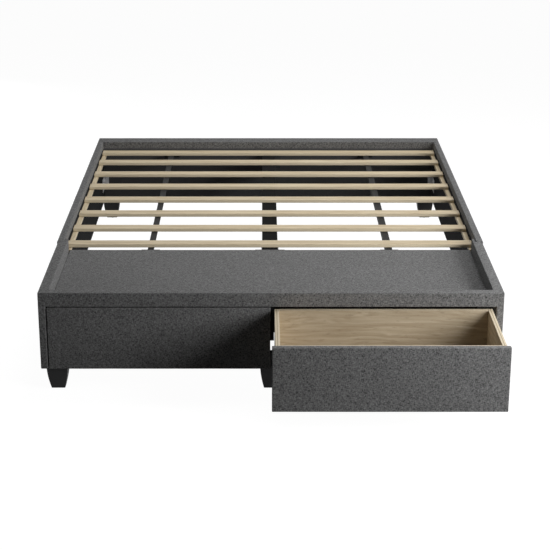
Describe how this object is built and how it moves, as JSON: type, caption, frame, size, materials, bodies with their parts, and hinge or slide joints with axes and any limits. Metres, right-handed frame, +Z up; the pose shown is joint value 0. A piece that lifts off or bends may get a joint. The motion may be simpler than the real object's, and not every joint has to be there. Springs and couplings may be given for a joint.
{
  "type": "platform bed with storage drawers",
  "caption": "Low upholstered platform bed with a slatted base and two side-by-side storage drawers on telescopic slides in its foot end.",
  "frame": {"origin": "middle of the footprint on the floor, with the right drawer pulled out", "axes": "+Z up, +Y from the foot end to the head end, +X to the right of someone facing the drawers"},
  "size_m": [1.608, 2.51, 0.373],
  "materials": {
    "upholstery": "charcoal linen-look weave over thin padding",
    "black_board": "black cloth-faced or stained board",
    "slat_wood": "bare planed softwood",
    "plywood": "clear-sealed pale plywood",
    "black_wood": "black satin stain",
    "grey_steel": "grey powder coat",
    "zinc_steel": "zinc-plated pressed steel"
  },
  "bodies": {
    "frame": {"front_rail": "upholstery", "box_side_left": "upholstery", "box_side_right": "upholstery", "deck_panel": "upholstery", "box_back": "black_board", "deck_rib": "black_board", "front_stretcher": "black_board", "slide_rail": "black_board", "bay_back": "black_board", "side_rail_left": "upholstery", "side_rail_right": "upholstery", "head_rail": "upholstery", "ledger_left": "slat_wood", "ledger_right": "slat_wood", "slat_1": "slat_wood", "slat_2": "slat_wood", "slat_3": "slat_wood", "slat_4": "slat_wood", "slat_5": "slat_wood", "slat_6": "slat_wood", "slat_7": "slat_wood", "slat_8": "slat_wood", "centre_beam": "black_wood", "beam_hanger_foot": "grey_steel", "beam_hanger_head": "grey_steel", "support_bar_left": "grey_steel", "support_bar_right": "grey_steel", "corner_bracket_left": "grey_steel", "corner_bracket_right": "grey_steel", "leg_foot_left": "black_wood", "leg_foot_middle": "black_wood", "leg_foot_right": "black_wood", "leg_head_left": "black_wood", "leg_head_right": "black_wood", "support_post_1": "black_wood", "support_post_2": "black_wood", "left_slide_outer_fixed": "zinc_steel", "left_slide_inner_fixed": "zinc_steel", "right_slide_outer_fixed": "zinc_steel", "right_slide_inner_fixed": "zinc_steel"},
    "left_drawer": {"left_drawer_front": "upholstery", "left_drawer_inner_front": "plywood", "left_drawer_back": "plywood", "left_drawer_wall_outer": "plywood", "left_drawer_wall_inner": "plywood", "left_drawer_bottom": "plywood", "left_slide_outer_drawer": "zinc_steel", "left_slide_inner_drawer": "zinc_steel"},
    "left_slide_middles": {"left_slide_outer_middle": "zinc_steel", "left_slide_inner_middle": "zinc_steel"},
    "right_drawer": {"right_drawer_front": "upholstery", "right_drawer_inner_front": "plywood", "right_drawer_back": "plywood", "right_drawer_wall_outer": "plywood", "right_drawer_wall_inner": "plywood", "right_drawer_bottom": "plywood", "right_slide_outer_drawer": "zinc_steel", "right_slide_inner_drawer": "zinc_steel"},
    "right_slide_middles": {"right_slide_outer_middle": "zinc_steel", "right_slide_inner_middle": "zinc_steel"}
  },
  "joints": [
    {"name": "left_drawer_slide", "type": "slide", "parent": "frame", "child": "left_drawer", "axis": [0, -1, 0], "range_m": [0, 0.36]},
    {"name": "left_middle_slide", "type": "slide", "parent": "frame", "child": "left_slide_middles", "axis": [0, -1, 0], "range_m": [0, 0.18]},
    {"name": "right_drawer_slide", "type": "slide", "parent": "frame", "child": "right_drawer", "axis": [0, -1, 0], "range_m": [-0.36, 0]},
    {"name": "right_middle_slide", "type": "slide", "parent": "frame", "child": "right_slide_middles", "axis": [0, -1, 0], "range_m": [-0.18, 0]}
  ],
  "couplings": [
    {"joint": "left_middle_slide", "follows": "left_drawer_slide", "ratio": 0.5},
    {"joint": "right_middle_slide", "follows": "right_drawer_slide", "ratio": 0.5}
  ]
}
